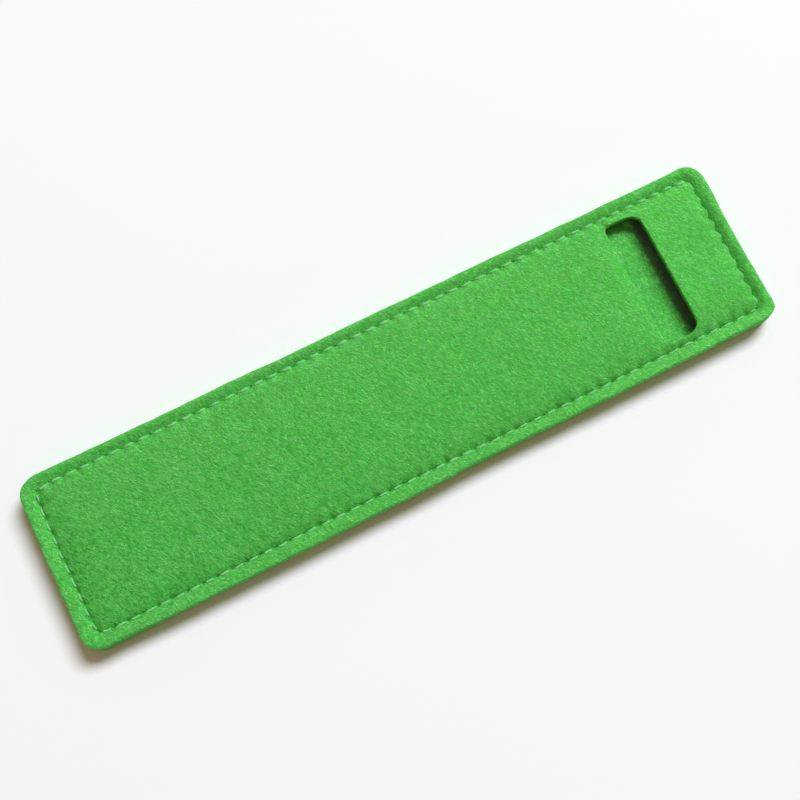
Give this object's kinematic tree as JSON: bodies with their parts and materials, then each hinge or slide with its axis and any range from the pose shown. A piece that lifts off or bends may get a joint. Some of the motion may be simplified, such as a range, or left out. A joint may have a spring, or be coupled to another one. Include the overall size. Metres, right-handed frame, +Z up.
{
  "type": "pen case",
  "caption": "Flat felt sleeve for a single pen: two felt layers sewn together round the edge, with a cross slot near one end that the pen slides in through.",
  "frame": {"origin": "centre of the flat underside, on the surface that the case lies on", "axes": "+X along the case towards its slotted end, +Y across it, +Z up out of the front panel"},
  "size_m": [0.175, 0.042, 0.0068],
  "materials": {
    "felt": "matte needle-punched felt in bright green, with a soft short nap",
    "thread": "twisted polyester sewing thread in a paler green, with a slight sheen"
  },
  "bodies": {
    "root": {"front_panel": "felt", "back_panel": "felt", "needle_thread": "thread", "bobbin_thread": "thread"}
  },
  "joints": []
}
